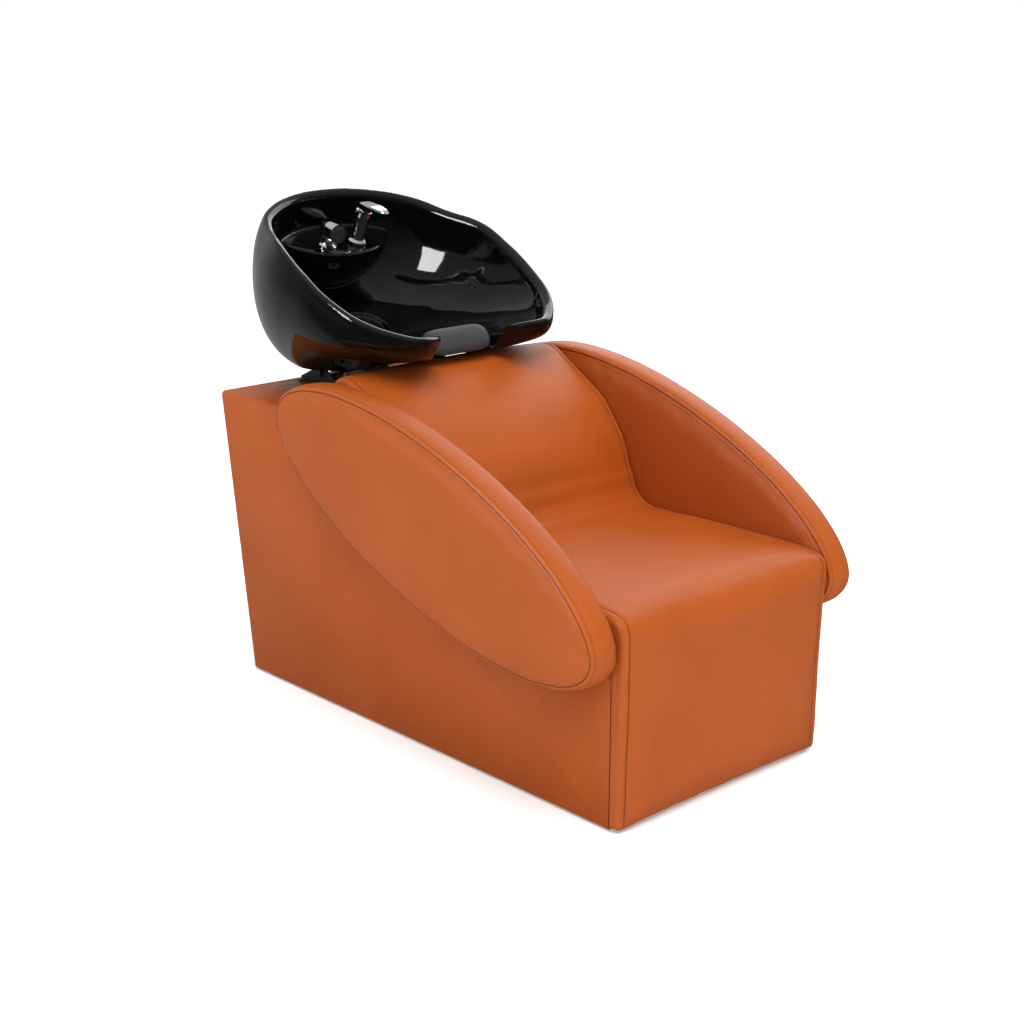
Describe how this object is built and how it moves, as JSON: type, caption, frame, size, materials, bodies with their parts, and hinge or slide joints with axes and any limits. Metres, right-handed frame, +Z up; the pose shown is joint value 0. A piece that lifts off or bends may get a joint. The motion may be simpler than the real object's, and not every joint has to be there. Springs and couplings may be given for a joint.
{
  "type": "backwash unit",
  "caption": "Salon backwash unit: upholstered box seat with sloped back and oval arm panels, and a black tilting ceramic bowl with neck rest, mixer tap and hand spray",
  "frame": {"origin": "on the floor, at the middle of the overall length and width", "axes": "+Z up, +Y from the front of the seat to the bowl at the rear, +X to the right seen from the front"},
  "size_m": [0.768, 1.3522, 1.1002],
  "materials": {
    "plywood": "matte",
    "leatherette": "satin",
    "black_glaze": "gloss",
    "grey_gel": "satin",
    "black_steel": "satin",
    "zinc_steel": "satin",
    "bronze": "satin",
    "brass": "polished",
    "chrome": "polished",
    "black_plastic": "matte",
    "white_plastic": "satin",
    "black_rubber": "matte",
    "red_plastic": "gloss"
  },
  "bodies": {
    "base": {"side_panel_left": "plywood", "side_panel_right": "plywood", "front_panel": "plywood", "seat_board": "plywood", "back_board": "plywood", "deck_board": "plywood", "rear_panel": "plywood", "bottom_rail_front": "plywood", "bottom_rail_middle": "plywood", "bottom_rail_rear": "plywood", "arm_core_left": "plywood", "arm_core_right": "plywood", "side_cover_left": "leatherette", "side_cover_right": "leatherette", "front_apron": "leatherette", "deck_pad": "leatherette", "rear_cover": "leatherette", "seat_pad": "leatherette", "back_pad": "leatherette", "arm_inner_pad_left": "leatherette", "arm_inner_pad_right": "leatherette", "arm_outer_pad_left": "leatherette", "arm_outer_pad_right": "leatherette", "tilt_bracket": "black_steel", "pivot_pins": "black_steel", "bracket_bolts": "zinc_steel", "arm_bolts_left": "zinc_steel", "arm_bolts_right": "zinc_steel", "rear_screws": "zinc_steel", "glides": "black_plastic", "arm_spacers_left": "black_plastic", "arm_spacers_right": "black_plastic"},
    "basin": {"bowl": "black_glaze", "neck_rest": "grey_gel", "tilt_cradle": "black_steel", "cradle_gasket": "black_rubber", "cradle_bolts": "zinc_steel", "cradle_nuts": "zinc_steel", "pivot_bushes": "bronze", "drain_flange": "chrome", "drain_seal": "black_rubber", "drain_nut": "black_plastic", "waste_tail": "white_plastic", "tap_washer": "brass", "tap_base_ring": "chrome", "tap_body": "chrome", "tap_nut": "brass", "tap_cartridge": "white_plastic", "spray_socket": "chrome", "spray_nut": "brass"},
    "strainer": {"drain_strainer": "chrome"},
    "handle_hub": {"tap_hub": "chrome", "tap_index": "red_plastic", "lever_pin": "zinc_steel"},
    "handle_lever": {"tap_lever": "chrome"},
    "spray": {"spray_body": "chrome", "spray_face": "black_plastic", "spray_tail": "chrome"}
  },
  "joints": [
    {"name": "basin_tilt", "type": "hinge", "parent": "base", "child": "basin", "pos_m": [0, 0.5263, 0.686], "axis": [-1, 0, 0], "range_deg": [0, 18]},
    {"name": "tap_swing", "type": "hinge", "parent": "basin", "child": "handle_hub", "pos_m": [0.04, 0.53871, 0.98016], "axis": [0, -0.4115, 0.9114], "range_deg": [-45, 45]},
    {"name": "tap_lift", "type": "hinge", "parent": "handle_hub", "child": "handle_lever", "pos_m": [0.04, 0.51563, 1.05313], "axis": [-1, 0, 0], "range_deg": [0, 20]},
    {"name": "spray_pull", "type": "slide", "parent": "basin", "child": "spray", "axis": [0, -0.4115, 0.9114], "range_m": [0, 0.12]},
    {"name": "strainer_lift", "type": "slide", "parent": "basin", "child": "strainer", "axis": [0, -0.4115, 0.9114], "range_m": [0, 0.06]}
  ]
}
